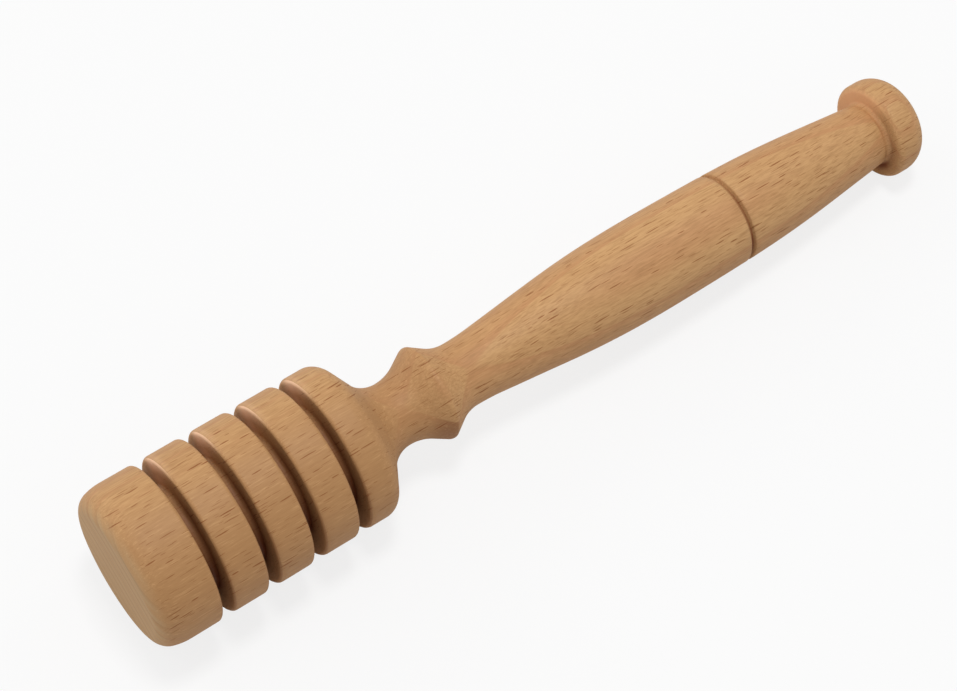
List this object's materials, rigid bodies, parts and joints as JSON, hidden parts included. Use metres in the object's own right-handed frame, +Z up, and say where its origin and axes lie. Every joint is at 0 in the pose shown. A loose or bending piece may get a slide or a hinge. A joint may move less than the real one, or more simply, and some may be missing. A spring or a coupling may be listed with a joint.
{
  "type": "honey dipper",
  "caption": "Turned wooden honey dipper: round head with deep ring grooves, ridged bead, swelling handle with a ring cut, and a knob at the end.",
  "frame": {"origin": "middle of the dipper on the table it lies on, at the centre of the bottom of its bounding box", "axes": "+X runs from the grooved head towards the knob, +Z is up, and the dipper's own axis dips towards the knob in the XZ plane"},
  "size_m": [0.1718, 0.03, 0.0313],
  "materials": {
    "wood": "bare, fine-sanded beech"
  },
  "bodies": {
    "root": {"dipper": "wood"}
  },
  "joints": []
}
